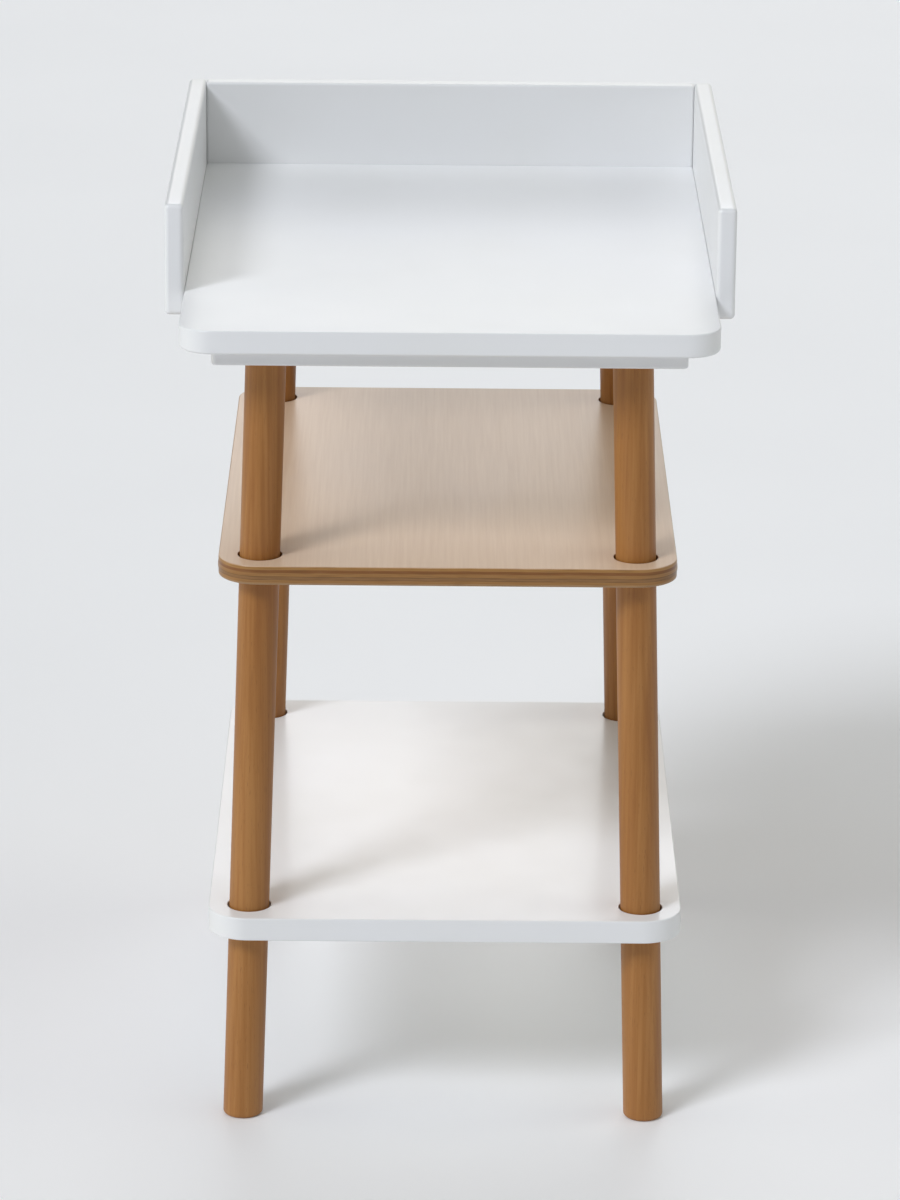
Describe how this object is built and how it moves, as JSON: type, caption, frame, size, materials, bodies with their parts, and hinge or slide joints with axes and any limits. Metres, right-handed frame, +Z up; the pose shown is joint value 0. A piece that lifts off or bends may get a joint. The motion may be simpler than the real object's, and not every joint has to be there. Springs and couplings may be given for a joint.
{
  "type": "changing table",
  "caption": "Free-standing changing table: a lacquered tray with three low walls on splayed round wooden legs, with a plywood shelf and a lacquered shelf below.",
  "frame": {"origin": "on the floor, below the middle of the whole object's width and depth", "axes": "+X to the right, +Y to the back (the side with the back wall), +Z up"},
  "size_m": [0.59, 0.735, 0.971],
  "materials": {
    "white_lacquer": "satin white lacquer on fine fibreboard",
    "plywood": "clear matt lacquer, pale pinkish tan face veneer, layered golden brown edge",
    "leg_wood": "honey brown oiled hardwood, satin",
    "dowel_wood": "raw beech",
    "plated_steel": "bright zinc plate",
    "white_cap": "fine matt moulded white",
    "brown_cap": "fine matt moulded light brown"
  },
  "bodies": {
    "root": {"tray_base": "white_lacquer", "tray_wall_left": "white_lacquer", "tray_wall_right": "white_lacquer", "tray_wall_back": "white_lacquer", "mounting_panel": "white_lacquer", "middle_shelf": "plywood", "bottom_shelf": "white_lacquer", "leg_front_left": "leg_wood", "leg_front_right": "leg_wood", "leg_back_left": "leg_wood", "leg_back_right": "leg_wood", "tray_wall_dowels": "dowel_wood", "tray_screws": "plated_steel", "leg_bolts": "plated_steel", "leg_washers": "plated_steel", "leg_inserts": "plated_steel", "middle_shelf_screws": "plated_steel", "bottom_shelf_screws": "plated_steel", "middle_shelf_caps": "brown_cap", "bottom_shelf_caps": "white_cap"}
  },
  "joints": []
}
